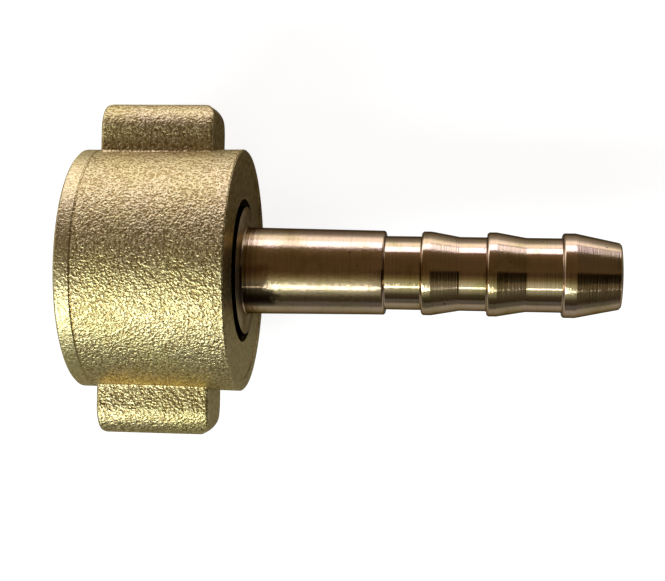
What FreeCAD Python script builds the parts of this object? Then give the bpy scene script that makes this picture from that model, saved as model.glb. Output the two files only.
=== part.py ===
# Wing nut and barbed hose tail: a loose brass union nut with a G 1/2 pipe thread, the turned tail
# that it holds for an 8 mm hose, and the flat rubber washer that seals between them.
#
# Millimetres. The axis of all three pieces is X, the wings lie along Y, and Z is up.
# The origin is the middle of the washer's open face, where the end of the male thread seats.
# The nut's open end faces -X and the tip of the tail points to +X.
import FreeCAD, Part
import math
import os
import re

import Sketcher

SHEET = "Sizes"

# Every size that can be set by itself.
SIZES = {
    # wing nut, outside: x is counted from its open face
    "nut_length": 17.75,
    "band_diameter": 26.28,
    "band_length": 1.62,
    "rim_chamfer": 0.2,
    "groove_depth": 0.07,
    "groove_width": 0.3,
    "barrel_front_diameter": 26.2,
    "barrel_back_diameter": 26.54,
    "back_chamfer": 0.15,
    # its two wings, forged with the barrel
    "wing_span": 36.36,
    "wing_thickness": 7.0,
    "wing_front": 2.15,
    "wing_length": 12.5,
    "wing_tip_round": 3.2,
    "wing_front_corner": 0.9,
    "wing_back_corner": 2.0,
    "wing_corner_stop": 20,
    "wing_edge_round": 0.45,
    "wing_root_round": 0.4,
    # wing nut, inside
    "mouth_diameter": 21.4,
    "mouth_depth": 1.0,
    "thread_bore": 18.631,
    "thread_stop": 0.45,
    "relief_diameter": 21.3,
    "relief_slope": 0.8,
    "back_wall": 4.3,
    "facing_diameter": 24.0,
    "facing_depth": 0.1,
    # hose tail, inside the nut: x is counted from its sealing face
    "head_thickness": 2.7,
    "head_clearance": 0.3155,
    "head_chamfer": 0.3,
    "collar_diameter": 14.15,
    "collar_clearance": 0.815,
    "collar_stand": 0.33,
    "collar_bevel": 0.65,
    "collar_bevel_depth": 0.2,
    # hose tail, outside the nut
    "stem_diameter": 9.5,
    "stem_end_diameter": 9.17,
    "stem_length": 15.25,
    "stem_root": 0.12,
    "stem_chamfer": 0.15,
    "neck_diameter": 8.02,
    "neck_root": 0.08,
    "first_neck": 3.9,
    "second_neck": 2.9,
    "third_neck": 3.82,
    "barb_diameter": 9.12,
    "barb_crest": 0.2,
    "barb_land": 1.05,
    "first_barb": 4.12,
    "second_barb": 4.2,
    "end_barb_land": 1.4,
    "end_barb": 6.24,
    "tip_diameter": 7.2,
    "tip_chamfer": 0.2,
    "bore_diameter": 5.2,
    "bore_chamfer": 0.3,
    # rubber washer
    "washer_thickness": 2.0,
    "washer_clearance": 0.3155,
    "washer_bore": 10.0,
}


def bound(expression):
    """The expression with the sheet's name in front of each size that it names."""
    return re.sub(r"[a-z_]+", lambda word: f"{SHEET}." * (word[0] in SIZES) + word[0], expression)


def fill_sheet(doc):
    """Writes the sizes into the document's spreadsheet, one row each."""
    sheet = doc.addObject("Spreadsheet::Sheet", SHEET)
    for row, (name, value) in enumerate(SIZES.items(), start=1):
        sheet.set(f"A{row}", name.replace("_", " "))
        sheet.set(f"B{row}", str(value))
        sheet.setAlias(f"B{row}", name)
    doc.recompute()
    return sheet


def origin_part(body, role):
    """The plane or axis of the body's own origin that has this role."""
    return next(item for item in body.Origin.OriginFeatures if item.Role == role)


def new_sketch(body, name, plane, offset=None):
    """An empty sketch on one of the body's origin planes, moved along that plane's normal."""
    sketch = body.newObject("Sketcher::SketchObject", name)
    sketch.AttachmentSupport = [(origin_part(body, plane), "")]
    sketch.MapMode = "FlatFace"
    if offset:
        sketch.setExpression(".AttachmentOffset.Base.z", bound(offset))
    body.Document.recompute()
    return sketch


def hold_point(sketch, edge, end, x, y):
    """Ties one end of an edge to the expressions x and y, both counted from the sketch's origin."""
    for kind, text, axis in (("DistanceX", x, -2), ("DistanceY", y, -1)):
        if text == "0":
            sketch.addConstraint(Sketcher.Constraint("PointOnObject", edge, end, axis))
            continue
        value = sketch.evalExpression(bound(text))
        index = sketch.addConstraint(Sketcher.Constraint(kind, -1, 1, edge, end, value))
        sketch.setExpression(f"Constraints[{index}]", bound(text))


def draw_outline(sketch, corners):
    """Draws one closed loop of corners, each (x, y) or (x, y, radius). The radius makes an arc of the edge
    from that corner to the next, which turns left, or right if the radius has a minus sign."""
    places = [(sketch.evalExpression(bound(c[0])), sketch.evalExpression(bound(c[1]))) for c in corners]
    ends = []
    for index, corner in enumerate(corners):
        start = FreeCAD.Vector(*places[index])
        stop = FreeCAD.Vector(*places[(index + 1) % len(places)])
        if len(corner) == 2:
            edge = sketch.addGeometry(Part.LineSegment(start, stop))
            ends.append((edge, 1, 2))
            continue
        left = not corner[2].startswith("-")
        radius = sketch.evalExpression(bound(corner[2].lstrip("-")))
        chord = stop - start
        rise = math.sqrt(max(radius**2 - (chord.Length / 2) ** 2, 0))
        side = FreeCAD.Vector(-chord.y, chord.x).normalize() * (rise if left else -rise)
        centre = (start + stop) / 2 + side
        angles = [math.atan2(p.y - centre.y, p.x - centre.x) for p in (start, stop)]
        if not left:
            angles.reverse()
        circle = Part.Circle(centre, FreeCAD.Vector(0, 0, 1), radius)
        edge = sketch.addGeometry(Part.ArcOfCircle(circle, *angles))
        ends.append((edge, 1, 2) if left else (edge, 2, 1))
        size = sketch.addConstraint(Sketcher.Constraint("Radius", edge, radius))
        sketch.setExpression(f"Constraints[{size}]", bound(corner[2].lstrip("-")))
    for index, (edge, first, _) in enumerate(ends):
        before, _, last = ends[index - 1]
        sketch.addConstraint(Sketcher.Constraint("Coincident", before, last, edge, first))
        hold_point(sketch, edge, first, *corners[index][:2])


def turn(body, name, corners, kind="PartDesign::Revolution"):
    """Revolves an outline in the XY plane about X, to add metal or, as a groove, to cut it."""
    sketch = new_sketch(body, name + "Outline", "XY_Plane")
    draw_outline(sketch, corners)
    feature = body.newObject(kind, name)
    feature.Profile = sketch
    feature.ReferenceAxis = (sketch, ["H_Axis"])
    feature.Angle = 360
    body.Document.recompute()
    return feature


def sharp_edges(shape, chosen, least_turn=5):
    """Names of the edges that pass the test and whose two faces meet at more than least_turn degrees."""
    names = []
    for number, edge in enumerate(shape.Edges, start=1):
        if not chosen(edge):
            continue
        middle = edge.valueAt((edge.FirstParameter + edge.LastParameter) / 2)
        faces = shape.ancestorsOfType(edge, Part.Face)
        normals = [face.normalAt(*face.Surface.parameter(middle)) for face in faces]
        if len(normals) == 2 and math.degrees(normals[0].getAngle(normals[1])) > least_turn:
            names.append(f"Edge{number}")
    return names


def wing_section():
    """Outline of the bar that both wings are forged from, seen along the axis. Its sides are flat and its
    tips rounded over. Near the barrel it flares by a root round, tangent to the barrel's open end."""
    tip, side = "wing_span / 2", "wing_thickness / 2"
    round_centre = f"({side} + wing_root_round)"
    reach = "(barrel_front_diameter / 2 + wing_root_round)"
    root = f"sqrt({reach}^2 - {round_centre}^2)"
    share = f"barrel_front_diameter / 2 / {reach}"
    return [
        (tip, f"wing_tip_round - {side}"),
        (tip, f"{side} - wing_tip_round", "wing_tip_round"),
        (f"{tip} - wing_tip_round", side),
        (root, side, "-wing_root_round"),
        (f"{root} * {share}", f"{round_centre} * {share}"),
        (f"-{root} * {share}", f"{round_centre} * {share}", "-wing_root_round"),
        (f"-{root}", side),
        (f"wing_tip_round - {tip}", side, "wing_tip_round"),
        (f"-{tip}", f"{side} - wing_tip_round"),
        (f"-{tip}", f"wing_tip_round - {side}", "wing_tip_round"),
        (f"wing_tip_round - {tip}", f"-{side}"),
        (f"-{root}", f"-{side}", "-wing_root_round"),
        (f"-{root} * {share}", f"-{round_centre} * {share}"),
        (f"{root} * {share}", f"-{round_centre} * {share}", "-wing_root_round"),
        (root, f"-{side}"),
        (f"{tip} - wing_tip_round", f"-{side}", "wing_tip_round"),
    ]


def make_wings(body):
    """The bar across the nut whose two ends are the wings, with its corners and end edges rounded."""
    doc = body.Document
    section = new_sketch(body, "WingSection", "YZ_Plane", "wing_front")
    draw_outline(section, wing_section())
    bar = body.newObject("PartDesign::Pad", "WingBar")
    bar.Profile = section
    bar.setExpression("Length", bound("wing_length"))
    doc.recompute()

    # Seen from above, each wing has a small round at its front corner and a large one at its back.
    # Each round stops a few degrees short of the tip, and meets it at a shallow edge.
    corners = new_sketch(body, "WingCorners", "XY_Plane")
    clear = "wing_thickness"
    for end, outward, inward, radius in (
        ("wing_front", "-", "+", "wing_front_corner"),
        ("wing_front + wing_length", "+", "-", "wing_back_corner"),
    ):
        along = f"{radius} * (1 - sin(wing_corner_stop * 1deg))"
        across = f"{radius} * cos(wing_corner_stop * 1deg)"
        for sign in ("", "-"):
            turns_right = (outward == "-") == (sign == "")
            draw_outline(corners, [
                (end, f"{sign}(wing_span / 2 - {across})", ("-" if turns_right else "") + radius),
                (f"{end} {inward} {along}", f"{sign}wing_span / 2"),
                (f"{end} {inward} {along}", f"{sign}(wing_span / 2 + {clear})"),
                (f"{end} {outward} {clear}", f"{sign}(wing_span / 2 + {clear})"),
                (f"{end} {outward} {clear}", f"{sign}(wing_span / 2 - {across})"),
            ])
    rounding = body.newObject("PartDesign::Pocket", "WingRounding")
    rounding.Profile = corners
    rounding.Midplane = True
    rounding.setExpression("Length", bound("2 * wing_thickness"))
    doc.recompute()

    # Only the edges round each end face are sharp, apart from those that the barrel swallows.
    half_length = bar.Length.Value / 2
    inside = section.evalExpression(bound("barrel_front_diameter / 4"))
    edges = sharp_edges(
        rounding.Shape,
        lambda edge: abs(edge.CenterOfMass.y) > inside and edge.BoundBox.XLength < half_length,
    )
    softened = body.newObject("PartDesign::Fillet", "WingEdges")
    softened.Base = (rounding, edges)
    softened.setExpression("Radius", bound("wing_edge_round"))
    doc.recompute()


def make_wing_nut(doc):
    """The nut: barrel and wings forged in one piece of brass, then turned, faced and bored."""
    body = doc.addObject("PartDesign::Body", "WingNut")
    body.Label = "wing_nut"
    seat = "washer_thickness + head_thickness + back_wall"
    body.setExpression(".Placement.Base.x", bound(f"{seat} - nut_length"))
    make_wings(body)

    # A short turned band at the open end, a fine groove, and a barrel with forging draft.
    turn(body, "Barrel", [
        ("0", "0"),
        ("0", "band_diameter / 2 - rim_chamfer"),
        ("rim_chamfer", "band_diameter / 2"),
        ("band_length", "band_diameter / 2"),
        ("band_length + groove_width / 2", "barrel_front_diameter / 2 - groove_depth"),
        ("band_length + groove_width", "barrel_front_diameter / 2"),
        ("nut_length - back_chamfer", "barrel_back_diameter / 2"),
        ("nut_length", "barrel_back_diameter / 2 - back_chamfer"),
        ("nut_length", "0"),
    ])

    # One axial pass: the thread's mouth and bore, a relief round the washer and the head, the shoulder
    # that draws the head forward, the hole for the collar, and the shallow facing round that hole.
    # The thread stops a little short of the washer, so a longer nut has a longer thread.
    shoulder = "nut_length - back_wall"
    thread_end = f"{shoulder} - head_thickness - washer_thickness - thread_stop"
    hole = "collar_diameter / 2 + collar_clearance"
    floor = "nut_length - facing_depth"
    turn(body, "Bore", [
        ("0", "0"),
        ("0", "mouth_diameter / 2"),
        ("mouth_depth", "thread_bore / 2"),
        (thread_end, "thread_bore / 2"),
        (f"{thread_end} + relief_slope", "relief_diameter / 2"),
        (shoulder, "relief_diameter / 2"),
        (shoulder, hole),
        (floor, hole),
        (floor, "facing_diameter / 2"),
        ("nut_length", "facing_diameter / 2"),
        ("nut_length", "0"),
    ], "PartDesign::Groove")
    return body


def barb_corners(start, land):
    """Outline of one barb, up to where its long cone begins: root, steep back, broken crest and land."""
    return [
        (f"{start} - neck_root", "neck_diameter / 2"),
        (start, "neck_diameter / 2 + neck_root"),
        (start, "barb_diameter / 2 - barb_crest"),
        (f"{start} + barb_crest", "barb_diameter / 2"),
        (f"{start} + {land}", "barb_diameter / 2"),
    ]


def make_hose_tail(doc):
    """The tail, turned from bar in one piece: head, collar, stem, necks and three barbs."""
    body = doc.addObject("PartDesign::Body", "HoseTail")
    body.Label = "hose_tail"
    body.setExpression(".Placement.Base.x", bound("washer_thickness"))
    head = "thread_bore / 2 - head_clearance"
    collar_end = "head_thickness + back_wall + collar_stand"
    stop = f"{collar_end} + stem_length"
    first = f"{stop} + first_neck"
    second = f"{first} + first_barb + second_neck"
    third = f"{second} + second_barb + third_neck"
    tip = f"{third} + end_barb"
    turn(body, "Turned", [
        ("0", "bore_diameter / 2 + bore_chamfer"),
        ("0", f"{head} - head_chamfer"),
        ("head_chamfer", head),
        ("head_thickness - head_chamfer", head),
        ("head_thickness", f"{head} - head_chamfer"),
        ("head_thickness", "collar_diameter / 2"),
        (f"{collar_end} - collar_bevel_depth", "collar_diameter / 2"),
        (collar_end, "collar_diameter / 2 - collar_bevel"),
        (collar_end, "stem_diameter / 2 + stem_root"),
        (f"{collar_end} + stem_root", "stem_diameter / 2"),
        (f"{stop} - stem_chamfer", "stem_end_diameter / 2"),
        (stop, "stem_end_diameter / 2 - stem_chamfer"),
        (stop, "neck_diameter / 2 + neck_root"),
        (f"{stop} + neck_root", "neck_diameter / 2"),
        *barb_corners(first, "barb_land"),
        (f"{first} + first_barb", "neck_diameter / 2"),
        *barb_corners(second, "barb_land"),
        (f"{second} + second_barb", "neck_diameter / 2"),
        *barb_corners(third, "end_barb_land"),
        (f"{tip} - tip_chamfer", "tip_diameter / 2"),
        (tip, "tip_diameter / 2 - tip_chamfer"),
        (tip, "bore_diameter / 2 + bore_chamfer"),
        (f"{tip} - bore_chamfer", "bore_diameter / 2"),
        ("bore_chamfer", "bore_diameter / 2"),
    ])
    return body


def make_washer(doc):
    """The flat rubber washer that lies on the head's sealing face."""
    body = doc.addObject("PartDesign::Body", "SealingWasher")
    body.Label = "sealing_washer"
    rings = new_sketch(body, "WasherRings", "YZ_Plane")
    for radius in ("thread_bore / 2 - washer_clearance", "washer_bore / 2"):
        size = rings.evalExpression(bound(radius))
        edge = rings.addGeometry(Part.Circle(FreeCAD.Vector(), FreeCAD.Vector(0, 0, 1), size))
        rings.addConstraint(Sketcher.Constraint("Coincident", edge, 3, -1, 1))
        index = rings.addConstraint(Sketcher.Constraint("Radius", edge, size))
        rings.setExpression(f"Constraints[{index}]", bound(radius))
    disc = body.newObject("PartDesign::Pad", "Washer")
    disc.Profile = rings
    disc.setExpression("Length", bound("washer_thickness"))
    doc.recompute()
    return body


def check(doc, bodies):
    """Stops if any object failed to build or any piece isn't one valid solid."""
    for item in doc.Objects:
        if {"Invalid", "Error"} & set(item.State):
            raise RuntimeError(f"{item.Name} failed: {item.State}")
    for body in bodies:
        shape = body.Shape
        if shape.isNull() or not shape.isValid() or len(shape.Solids) != 1:
            raise RuntimeError(f"{body.Label} isn't one valid solid")


def main():
    doc = FreeCAD.newDocument("NutAndTail")
    fill_sheet(doc)
    bodies = [make_wing_nut(doc), make_hose_tail(doc), make_washer(doc)]
    doc.recompute()
    check(doc, bodies)
    os.makedirs("parts", exist_ok=True)
    for body in bodies:
        body.Shape.exportStep(f"parts/{body.Label}.step")
        print(body.Label, round(body.Shape.Volume, 2), "mm3")


main()
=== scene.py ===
"""Looks of a brass wing nut on a barbed hose tail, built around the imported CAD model. Metres, CAD frame."""

import math

import bmesh
import bpy
from mathutils import Matrix, Vector


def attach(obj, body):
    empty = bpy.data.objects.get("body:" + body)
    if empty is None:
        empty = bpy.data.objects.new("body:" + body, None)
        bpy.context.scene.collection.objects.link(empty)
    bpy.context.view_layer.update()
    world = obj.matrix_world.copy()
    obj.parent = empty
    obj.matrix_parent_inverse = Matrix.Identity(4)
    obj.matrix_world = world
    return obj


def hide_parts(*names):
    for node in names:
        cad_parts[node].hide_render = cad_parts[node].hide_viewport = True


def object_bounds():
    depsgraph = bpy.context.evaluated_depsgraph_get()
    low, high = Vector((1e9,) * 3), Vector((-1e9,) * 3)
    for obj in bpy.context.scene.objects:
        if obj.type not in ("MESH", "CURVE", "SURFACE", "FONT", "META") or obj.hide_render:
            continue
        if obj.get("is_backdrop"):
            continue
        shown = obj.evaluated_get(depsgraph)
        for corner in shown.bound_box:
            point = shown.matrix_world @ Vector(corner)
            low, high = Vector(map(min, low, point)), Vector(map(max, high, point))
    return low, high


MM = 0.001

# Stations along the axis, in millimetres, as the CAD has them
NUT_FRONT = -8.75
BAND_END = -7.13
THREAD_END = -0.45
HEAD_BACK = 4.7
STEM_START = 9.33
STEM_END = 24.58
BARB_BACKS = (28.48, 35.50, 43.52)
LAND_ENDS = (29.53, 36.55, 44.92)
CONE_ENDS = (32.60, 39.70)

# Distances from the axis, in millimetres, as the CAD has them
RELIEF_RADIUS = 10.65
BACK_HOLE_RADIUS = 7.89
COLLAR_RADIUS = 7.075
STEM_RADIUS = 4.75

# The floor's height, in millimetres, where the barrel touches it
FLOOR_Z = -13.27

# The pipe thread G 1/2, right hand: its radius, depth and pitch in millimetres, and the slope of a flank
THREAD_MAJOR = 10.4775
THREAD_HALF_DEPTH = 0.581
THREAD_PITCH = 1.814
FLANK_SLOPE = math.tan(math.radians(27.5))
STEPS_A_TURN = 96

# Vertices closer than this, in millimetres, are one
SAME_PLACE = 0.0005
# Edges sharper than this, in degrees, are left sharp, or worn by this many millimetres
SHARP_ANGLE = 24
WEAR = 0.09


def srgb(red, green, blue):
    """A colour written as on a screen, 0 to 255, as linear values."""
    def channel(value):
        value /= 255
        return value / 12.92 if value <= 0.04045 else ((value + 0.055) / 1.055) ** 2.4
    return (channel(red), channel(green), channel(blue), 1)


# Node helpers


class Nodes:
    """A node tree, of a new material or the one given, with short calls for what the materials share."""

    def __init__(self, name="", tree=None):
        if tree is None:
            self.material = bpy.data.materials.new(name)
            self.material.use_nodes = True
            tree = self.material.node_tree
            self.shader = tree.nodes["Principled BSDF"]
        self.tree = tree

    def add(self, kind, **inputs):
        node = self.tree.nodes.new(kind)
        for key, value in inputs.items():
            self.plug(node, key, value)
        return node

    def plug(self, node, key, value):
        """Links a socket, or sets its value. The key is its name, or its number as text."""
        socket = node.inputs[int(key) if key.isdigit() else key]
        if isinstance(value, bpy.types.NodeSocket):
            self.tree.links.new(value, socket)
        else:
            socket.default_value = value

    def math(self, operation, first, second=0.0):
        node = self.tree.nodes.new("ShaderNodeMath")
        node.operation = operation
        self.plug(node, "0", first)
        self.plug(node, "1", second)
        return node.outputs[0]

    def times(self, first, *others):
        for other in others:
            first = self.math("MULTIPLY", first, other)
        return first

    def plus(self, first, *others):
        for other in others:
            first = self.math("ADD", first, other)
        return first

    def noise(self, place, scale, detail, roughness=0.5, distortion=0.0, dimensions="3D"):
        """Noise at a place in space, or along one number where the dimensions are 1D."""
        node = self.tree.nodes.new("ShaderNodeTexNoise")
        node.noise_dimensions = dimensions
        self.plug(node, "W" if dimensions == "1D" else "Vector", place)
        self.plug(node, "Scale", scale)
        self.plug(node, "Detail", detail)
        self.plug(node, "Roughness", roughness)
        self.plug(node, "Distortion", distortion)
        return node.outputs[0]

    def ramp(self, factor, stops):
        """A ramp through stops of a place and a colour or a grey level."""
        node = self.tree.nodes.new("ShaderNodeValToRGB")
        points = node.color_ramp.elements
        while len(points) < len(stops):
            points.new(0.5)
        for point, (place, colour) in zip(points, stops):
            point.position = place
            point.color = colour if hasattr(colour, "__len__") else (colour, colour, colour, 1)
        self.plug(node, "Fac", factor)
        return node.outputs[0]

    def remap(self, value, low, high, to_low=0.0, to_high=1.0):
        """A smooth step from to_low, where the value is low, to to_high."""
        node = self.tree.nodes.new("ShaderNodeMapRange")
        node.interpolation_type = "SMOOTHSTEP"
        for key, number in zip("01234", (value, low, high, to_low, to_high)):
            self.plug(node, key, number)
        return node.outputs[0]

    def remap_mm(self, value, low, high, to_low=0.0, to_high=1.0):
        """The same with both ends of the step in millimetres, for a value in metres."""
        return self.remap(value, low * MM, high * MM, to_low, to_high)

    def mix(self, factor, first, second, blend="MIX"):
        node = self.tree.nodes.new("ShaderNodeMix")
        node.data_type = "RGBA"
        node.blend_type = blend
        self.plug(node, "0", factor)
        self.plug(node, "6", first)
        self.plug(node, "7", second)
        return node.outputs[2]

    def bump(self, height, distance, normal=None, strength=1.0):
        """A bump of a distance in millimetres, on top of another normal where one is given."""
        node = self.tree.nodes.new("ShaderNodeBump")
        self.plug(node, "Strength", strength)
        self.plug(node, "Distance", distance * MM)
        self.plug(node, "Height", height)
        if normal:
            self.plug(node, "Normal", normal)
        return node.outputs[0]

    def place(self):
        """The object's own coordinates in metres, and their parts."""
        vector = self.add("ShaderNodeTexCoord").outputs["Object"]
        parts = self.add("ShaderNodeSeparateXYZ", Vector=vector)
        return vector, *parts.outputs

    def radius(self, y, z):
        """The distance from the common axis."""
        return self.math("SQRT", self.plus(self.times(y, y), self.times(z, z)))

    def paint(self, colour, roughness, normal):
        self.plug(self.shader, "Base Color", colour)
        self.plug(self.shader, "Roughness", roughness)
        self.plug(self.shader, "Normal", normal)

    def make_metal(self, edge_tint):
        """Metal, with the colour that it reflects at grazing angles."""
        self.plug(self.shader, "Metallic", 1.0)
        self.plug(self.shader, "Specular Tint", edge_tint)


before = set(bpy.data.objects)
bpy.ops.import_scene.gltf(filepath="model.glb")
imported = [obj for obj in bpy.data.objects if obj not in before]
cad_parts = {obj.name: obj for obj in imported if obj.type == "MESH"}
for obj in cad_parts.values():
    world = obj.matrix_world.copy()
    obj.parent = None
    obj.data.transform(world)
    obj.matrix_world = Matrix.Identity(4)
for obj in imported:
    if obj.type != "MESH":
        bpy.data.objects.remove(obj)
cad_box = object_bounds()
scene = bpy.context.scene


# Meshes


def merged_copy(node):
    """A CAD node's mesh with its faces joined to each other, as a new bmesh."""
    mesh = bmesh.new()
    mesh.from_mesh(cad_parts[node].data)
    bmesh.ops.remove_doubles(mesh, verts=mesh.verts, dist=SAME_PLACE * MM)
    return mesh


def shade(mesh):
    """Smooth faces, with sharp edges left sharp."""
    for face in mesh.faces:
        face.smooth = True
    for edge in mesh.edges:
        edge.smooth = edge.calc_face_angle(0) < math.radians(SHARP_ANGLE)


def piece(name, mesh):
    """A new object in the scene. It uses the bmesh up."""
    data = bpy.data.meshes.new(name)
    mesh.to_mesh(data)
    mesh.free()
    thing = bpy.data.objects.new(name, data)
    scene.collection.objects.link(thing)
    return thing


def thread_profile():
    """The helical ridge's outline: one side from its foot in the bore to its tip, and the other mirrored."""
    foot = [(-0.86, 9.0), (-0.86, 9.31)]
    middle = THREAD_MAJOR - THREAD_HALF_DEPTH
    flank = [(-THREAD_PITCH / 4 - (middle - radius) * FLANK_SLOPE, radius) for radius in (9.42, 10.34)]
    half = foot + flank + [(-0.09, THREAD_MAJOR - 0.03)]
    return half + [(0, THREAD_MAJOR)] + [(-x, radius) for x, radius in reversed(half)]


def thread_cutter():
    """The helical ridge that leaves the thread's groove in the bore."""
    profile = thread_profile()
    start = NUT_FRONT - 0.6
    count = int((THREAD_END + 1.0 - start) / THREAD_PITCH * STEPS_A_TURN)
    mesh = bmesh.new()
    rows = []
    for i in range(count + 1):
        angle = 2 * math.pi * i / STEPS_A_TURN
        x = start + THREAD_PITCH * i / STEPS_A_TURN
        rows.append([
            mesh.verts.new(((x + dx) * MM, r * math.cos(angle) * MM, r * math.sin(angle) * MM))
            for dx, r in profile
        ])
    for before, after in zip(rows, rows[1:]):
        for k in range(len(profile)):
            n = (k + 1) % len(profile)
            mesh.faces.new((before[k], before[n], after[n], after[k]))
    mesh.faces.new(rows[0])
    mesh.faces.new(reversed(rows[-1]))
    bmesh.ops.recalc_face_normals(mesh, faces=mesh.faces)
    return piece("thread_cutter", mesh)


def make_nut():
    """The CAD's nut with the thread cut into its bore."""
    nut = piece("wing_nut_threaded", merged_copy("wing_nut"))
    cutter = thread_cutter()
    cut = nut.modifiers.new("thread", "BOOLEAN")
    cut.operation = "DIFFERENCE"
    cut.solver = "EXACT"
    cut.object = cutter
    bpy.context.view_layer.update()
    graph = bpy.context.evaluated_depsgraph_get()
    cut_mesh = bpy.data.meshes.new_from_object(nut.evaluated_get(graph))
    nut.modifiers.clear()
    mesh = bmesh.new()
    mesh.from_mesh(cut_mesh)
    bmesh.ops.remove_doubles(mesh, verts=mesh.verts, dist=SAME_PLACE * MM)
    shade(mesh)
    mesh.to_mesh(nut.data)
    mesh.free()
    bpy.data.meshes.remove(cut_mesh)
    bpy.data.objects.remove(cutter)
    return nut


def make_tail():
    """The CAD's tail with worn crests."""
    mesh = merged_copy("hose_tail")
    # The crests of the stem's end and of the barbs are worn a little round
    crests = []
    for edge in mesh.edges:
        first, second = (vert.co for vert in edge.verts)
        outside = first.x > (STEM_START + 1) * MM and first.yz.length > (STEM_RADIUS - 0.45) * MM
        ring = abs(first.x - second.x) < 0.001 * MM
        if outside and ring and edge.calc_face_angle_signed(0) > math.radians(SHARP_ANGLE):
            crests.append(edge)
    bmesh.ops.bevel(mesh, geom=crests, offset=WEAR * MM, segments=3, profile=0.5, affect="EDGES")
    shade(mesh)
    # The lands, cones and necks meet at crisp lines
    for edge in mesh.edges:
        places = {round(vert.co.x / MM, 2) for vert in edge.verts}
        if len(places) == 1 and places <= {*LAND_ENDS, *CONE_ENDS}:
            edge.smooth = False
    return piece("hose_tail_turned", mesh)


def make_washer():
    mesh = merged_copy("sealing_washer")
    shade(mesh)
    return piece("rubber_washer", mesh)


# Materials


def forged_brass():
    """Blasted forging with an orange-peel grain, and smoother worn end faces."""
    n = Nodes("forged_brass")
    where, x, y, z = n.place()
    radius = n.radius(y, z)
    facing = n.add("ShaderNodeSeparateXYZ", Vector=n.add("ShaderNodeTexCoord").outputs["Normal"])
    along = n.math("ABSOLUTE", facing.outputs[0])
    grain = n.noise(where, 3900, 1.5, 0.5, 0.3)
    swell = n.noise(where, 1500, 1)
    patches = n.noise(where, 160, 3, 0.6)
    rubbed = n.noise(where, 1700, 3, 0.7)
    # Blasted all over outside, and only a little rough on the end faces and in the bore
    end_face = n.remap(along, 0.6, 0.9)
    inside = n.remap_mm(radius, RELIEF_RADIUS + 0.25, RELIEF_RADIUS + 0.1)
    bare = n.times(n.math("MAXIMUM", end_face, inside), n.remap_mm(y, 1, -9, 0.75, 0.35))
    band = n.times(n.remap_mm(x, BAND_END + 0.3, BAND_END), 0.4)
    cover = n.math("SUBTRACT", 1.0, n.math("MAXIMUM", bare, band))
    height = n.plus(grain, n.times(swell, 0.5))
    normal = n.bump(n.times(height, cover), 0.134)
    # Dark pits in the grain, and on the back face a darker skin that is partly real and partly painted shade
    # for the dark floor it reflects, worn through in places
    pits = n.times(n.remap(grain, 0.56, 0.40), n.math("SUBTRACT", 1.0, band), 0.7)
    colour = n.mix(n.remap(patches, 0.3, 0.7), srgb(242, 220, 172), srgb(242, 222, 162))
    colour = n.mix(pits, colour, srgb(152, 114, 52))
    # Beside the rubbed wear, a painted light: the skin is lighter towards -Y, the side that the strip lamp
    # lights
    worn = n.plus(n.times(n.remap(rubbed, 0.3, 0.72), 0.5), n.remap_mm(y, 4, -7, 0.0, 0.4))
    skin_and_painted_shade = n.mix(worn, srgb(132, 110, 72), srgb(238, 218, 170))
    skin_and_shade_mask = n.times(end_face, n.remap_mm(radius, BACK_HOLE_RADIUS + 0.01, BACK_HOLE_RADIUS + 0.06))
    n.paint(n.mix(skin_and_shade_mask, colour, skin_and_painted_shade), n.ramp(patches, [(0.3, 0.38), (0.7, 0.45)]), normal)
    n.make_metal((0.46, 0.40, 0.29, 1))
    return n.material


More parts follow.
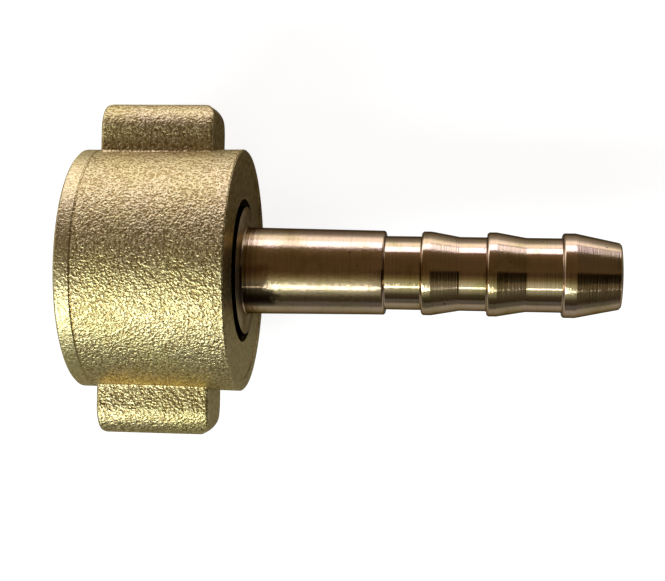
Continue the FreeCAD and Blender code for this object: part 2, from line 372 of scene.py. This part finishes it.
def turned_brass():
    """Bright turned metal: polished necks, satin stem, tool lines on the barbs, stains."""
    n = Nodes("turned_brass")
    where, x, y, z = n.place()
    radius = n.radius(y, z)
    across = n.times(x, 1000)
    lines = n.noise(across, 9, 3, 0.7, dimensions="1D")
    rings = n.noise(across, 2.6, 2, dimensions="1D")
    specks = n.noise(where, 1300, 2, 0.6)
    stain = n.noise(where, 230, 4, 0.65)
    fine = n.noise(where, 4200, 2, 0.6)
    frost = n.remap(n.noise(where, 6500, 1), 0.42, 0.60)
    # 1 on the polished necks and next to the collar, 0 on the stem, the cones and the lands
    gloss = n.remap_mm(x, STEM_START + 2.6, STEM_START + 1.8)
    for start, stop in zip((STEM_END, *CONE_ENDS), BARB_BACKS):
        neck = n.times(n.remap_mm(x, start - 0.3, start), n.remap_mm(x, stop, stop - 0.1))
        gloss = n.math("MAXIMUM", gloss, neck)
    satin = n.math("SUBTRACT", 1.0, gloss)
    # The barbs keep the tool's lines, and the last cone the most
    barbs = n.times(satin, n.remap_mm(x, STEM_END + 0.5, STEM_END + 1))
    tool = n.plus(barbs, n.remap_mm(x, LAND_ENDS[2], LAND_ENDS[2] + 0.1))
    frosted = n.math("SUBTRACT", satin, n.times(barbs, 0.6))
    height = n.plus(n.times(lines, n.plus(0.8, n.times(tool, 0.35))), n.times(rings, 0.6))
    normal = n.bump(height, 0.012)
    normal = n.bump(fine, 0.02, normal, n.plus(0.1, n.times(frosted, 0.5)))
    normal = n.bump(specks, 0.02, normal, n.times(frosted, 0.5))
    # Two tints of brass, darker in the deep lines and in stains
    stained = n.remap(stain, 0.35, 0.65)
    colour = n.mix(stained, srgb(226, 194, 168), srgb(218, 192, 152))
    colour = n.mix(n.times(n.remap(lines, 0.45, 0.25), 0.4), colour, srgb(130, 92, 62))
    colour = n.mix(n.times(n.remap(stain, 0.52, 0.68), 0.35), colour, srgb(150, 118, 74))
    colour = n.mix(n.remap(specks, 0.73, 0.77), colour, srgb(60, 40, 26))
    # A dark mark on the first stretch of the stem, longer and darker towards -Y
    edge = n.plus(x, n.times(n.math("SUBTRACT", specks, 0.5), 3 * MM))
    edge = n.plus(edge, n.remap_mm(y, -1.6, -2.8, 0.0, -0.8 * MM))
    mark = n.times(
        n.remap_mm(edge, STEM_START + 3.4, STEM_START + 2.3),
        n.remap_mm(y, 0.9, 0.3), n.remap_mm(y, -4.0, -3.4), n.remap_mm(z, 0.5, 1.5, 0.0, 0.9),
    )
    mark_tone = n.mix(n.remap_mm(y, 0.0, -2.2), srgb(178, 140, 110), srgb(52, 36, 26))
    colour = n.mix(mark, colour, mark_tone)
    # The collar's face is duller, its side in the nut's hole is painted black as the shade in the gap round
    # it, and the head is bright again
    collar = n.times(
        n.remap_mm(x, STEM_START + 0.1, STEM_START + 0.05),
        n.remap_mm(radius, STEM_RADIUS + 0.1, STEM_RADIUS + 0.2),
    )
    # Painted shade: the collar's side inside the nut's hole, black as the gap's shadow
    gap_shade = n.times(
        collar, n.remap_mm(radius, COLLAR_RADIUS - 0.125, COLLAR_RADIUS - 0.045),
        n.remap_mm(x, HEAD_BACK + 0.3, HEAD_BACK + 0.8),
    )
    colour = n.mix(collar, colour, n.mix(stained, srgb(232, 212, 178), srgb(180, 154, 118)))
    colour = n.mix(gap_shade, colour, srgb(16, 11, 7))
    rough = n.plus(
        0.08, n.times(frosted, n.plus(0.03, n.times(frost, 0.08))),
        n.times(n.math("SUBTRACT", stain, 0.5), 0.08), n.times(collar, 0.3),
    )
    n.paint(colour, rough, normal)
    n.make_metal((0.17, 0.14, 0.10, 1))
    return n.material


def black_rubber():
    """Moulded rubber, dusty in patches."""
    n = Nodes("black_rubber")
    where = n.place()[0]
    grain = n.noise(where, 3000, 3, 0.6)
    dust = n.noise(where, 500, 3, 0.6)
    n.paint(
        n.ramp(dust, [(0.35, srgb(30, 30, 31)), (0.7, srgb(48, 47, 46))]),
        n.ramp(grain, [(0.3, 0.55), (0.7, 0.75)]), n.bump(grain, 0.02),
    )
    return n.material


# Stage, light and camera


def make_floor():
    """A white floor, which the metal sees as dark further off at -Y and +X."""
    mesh = bmesh.new()
    bmesh.ops.create_grid(mesh, x_segments=1, y_segments=1, size=6)
    floor = piece("floor", mesh)
    floor.location = (0, 0, FLOOR_Z * MM)
    n = Nodes("floor_paper")
    n.tree.nodes.remove(n.shader)
    _, x, y, _ = n.place()
    lit = n.times(n.remap_mm(y, -59, -34), n.remap_mm(x, 160, 70))
    path = n.add("ShaderNodeLightPath").outputs
    # In the metal the paper glows on the window's side, past the shade close to the object
    mirrored = n.math("MAXIMUM", path["Is Glossy Ray"], path["Is Transmission Ray"])
    mirrored = n.times(mirrored, n.remap_mm(y, 30, 72, 0.05, 1.1), lit)
    direct = n.times(path["Is Camera Ray"], n.remap(lit, 0.0, 1.0, 0.86, 0.8))
    white = n.mix(lit, (0.16, 0.16, 0.16, 1), (0.46, 0.46, 0.46, 1))
    paper = n.add("ShaderNodeBsdfDiffuse", Color=white)
    glow = n.add("ShaderNodeEmission", Color=(1, 1, 1, 1), Strength=n.math("MAXIMUM", direct, mirrored))
    both = n.add("ShaderNodeAddShader", **{"0": paper.outputs[0], "1": glow.outputs[0]})
    n.plug(n.tree.nodes["Material Output"], "Surface", both.outputs[0])
    floor.data.materials.append(n.material)
    floor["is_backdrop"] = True


def make_world():
    """A studio with a dark warm ceiling and pale walls, apart from dark ones at -Y and +X."""
    world = bpy.data.worlds.new("studio")
    scene.world = world
    world.use_nodes = True
    n = Nodes(tree=world.node_tree)
    direction = n.add("ShaderNodeTexCoord").outputs["Generated"]
    x, y, z = n.add("ShaderNodeSeparateXYZ", Vector=direction).outputs
    pale = n.ramp(z, [
        (0.0, (1.0, 1.0, 1.0, 1)), (0.30, (0.95, 0.94, 0.92, 1)), (0.38, (0.21, 0.155, 0.10, 1)),
        (0.62, (0.11, 0.078, 0.038, 1)), (0.8, (0.09, 0.062, 0.030, 1)), (1.0, (0.091, 0.062, 0.030, 1)),
    ])
    dark = n.ramp(z, [
        (0.0, (0.045, 0.04, 0.028, 1)), (0.12, (0.04, 0.035, 0.022, 1)), (0.26, (0.065, 0.058, 0.035, 1)),
        (0.45, (0.05, 0.044, 0.027, 1)), (0.95, (0.091, 0.062, 0.030, 1)),
    ])
    wall = n.math("MAXIMUM", n.remap(y, -0.35, -0.75), n.remap(x, 0.24, 0.46))
    # Light from the strip spills over the ceiling next to it, on the side of the zenith
    spill = n.ramp(n.times(y, -1.0), [
        (0.08, 0.0), (0.30, (0.12, 0.12, 0.06, 1)), (0.46, (0.37, 0.43, 0.30, 1)),
        (0.62, (0.62, 0.76, 0.61, 1)), (0.76, (0.5, 0.62, 0.50, 1)), (0.84, (0.30, 0.36, 0.28, 1)),
        (0.90, (0.18, 0.21, 0.16, 1)), (0.96, (0.05, 0.06, 0.04, 1)), (1.0, 0.0),
    ])
    reach = n.times(n.remap(z, 0.25, 0.5), n.remap(x, 0.30, 0.02), n.remap(x, -0.17, -0.38, 0.9, 2.2))
    # A dark place in the ceiling towards +X
    gap = n.times(n.remap(y, 0.16, 0.06), n.remap(y, -0.46, -0.34), n.remap(x, 0.02, 0.22))
    ceiling = n.mix(gap, n.mix(wall, pale, dark), (0.006, 0.0045, 0.002, 1))
    # Over the nut the ceiling is a deeper brown
    brown = n.times(n.remap(x, -0.19, -0.3), n.remap(z, 0.5, 0.75))
    ceiling = n.mix(brown, ceiling, (0.062, 0.034, 0.006, 1))
    n.plug(n.tree.nodes["Background"], "Color", n.mix(reach, ceiling, spill, "ADD"))


def lamp(name, direction, distance, size, radiance, colour, shift=0.0):
    """An area lamp that faces the object, or a place beside it along X. Radiance is how bright it looks."""
    light = bpy.data.lights.new(name, "AREA")
    light.shape = "RECTANGLE"
    light.size, light.size_y = size
    light.color = colour
    light.energy = radiance * size[0] * size[1] * math.pi
    thing = bpy.data.objects.new(name, light)
    aim = Vector(direction).normalized()
    thing.location = aim * distance + Vector((shift, 0, 0))
    thing.rotation_euler = aim.to_track_quat("Z", "Y").to_euler()
    thing.visible_camera = False
    scene.collection.objects.link(thing)
    return thing


def polar(azimuth, elevation):
    """A direction from the object: azimuth from +Y towards +X, elevation up from the floor."""
    a, e = math.radians(azimuth), math.radians(elevation)
    return (math.sin(a) * math.cos(e), math.cos(a) * math.cos(e), math.sin(e))


def make_lamps():
    """A low window at +Y, a strip at -Y that is broad over the nut, and a soft fill from above."""
    lamp("window", polar(2, 10.7), 1.6, (2.4, 0.55), 1.3, (1.0, 1.02, 1.56), -0.77)
    lamp("strip", polar(180, 45), 1.2, (0.46, 0.065), 6.0, (0.95, 1.05, 1.0), -0.08)
    lamp("broad_strip", polar(180, 45), 1.2, (1.1, 0.36), 10.2, (0.96, 1.13, 1.16), -0.89)
    fill = lamp("fill", (0.1, 0, 1), 1.5, (1.4, 1.4), 1.0, (1.0, 1.0, 1.0))
    fill.visible_glossy = False


def make_camera():
    """A camera above the object, as the outlines in the photo place it."""
    camera = bpy.data.objects.new("camera", bpy.data.cameras.new("camera"))
    camera.data.sensor_width = 36
    camera.data.sensor_fit = "HORIZONTAL"
    camera.data.lens = 75.31
    camera.data.clip_start = 0.01
    right = Vector((0.99404548, 0.01810868, -0.10745069))
    up = Vector((-0.01800381, 0.99983602, 0.00194611))
    turn = Matrix((right, up, right.cross(up))).transposed().to_4x4()
    camera.matrix_world = Matrix.Translation((0.035127, -0.002047, 0.151516)) @ turn
    scene.collection.objects.link(camera)
    scene.camera = camera


scene.view_settings.view_transform = "Standard"
make_camera()
make_world()
make_lamps()
make_floor()

for maker, paint, node, body, slot in (
    (make_nut, forged_brass, "wing_nut", "nut", "forged_brass"),
    (make_tail, turned_brass, "hose_tail", "tail", "turned_brass"),
    (make_washer, black_rubber, "sealing_washer", "washer", "black_rubber"),
):
    made = maker()
    made.data.materials.clear()
    made.data.materials.append(paint())
    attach(made, body)
    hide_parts(node)

[[list(corner) for corner in box] for box in (cad_box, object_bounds())]
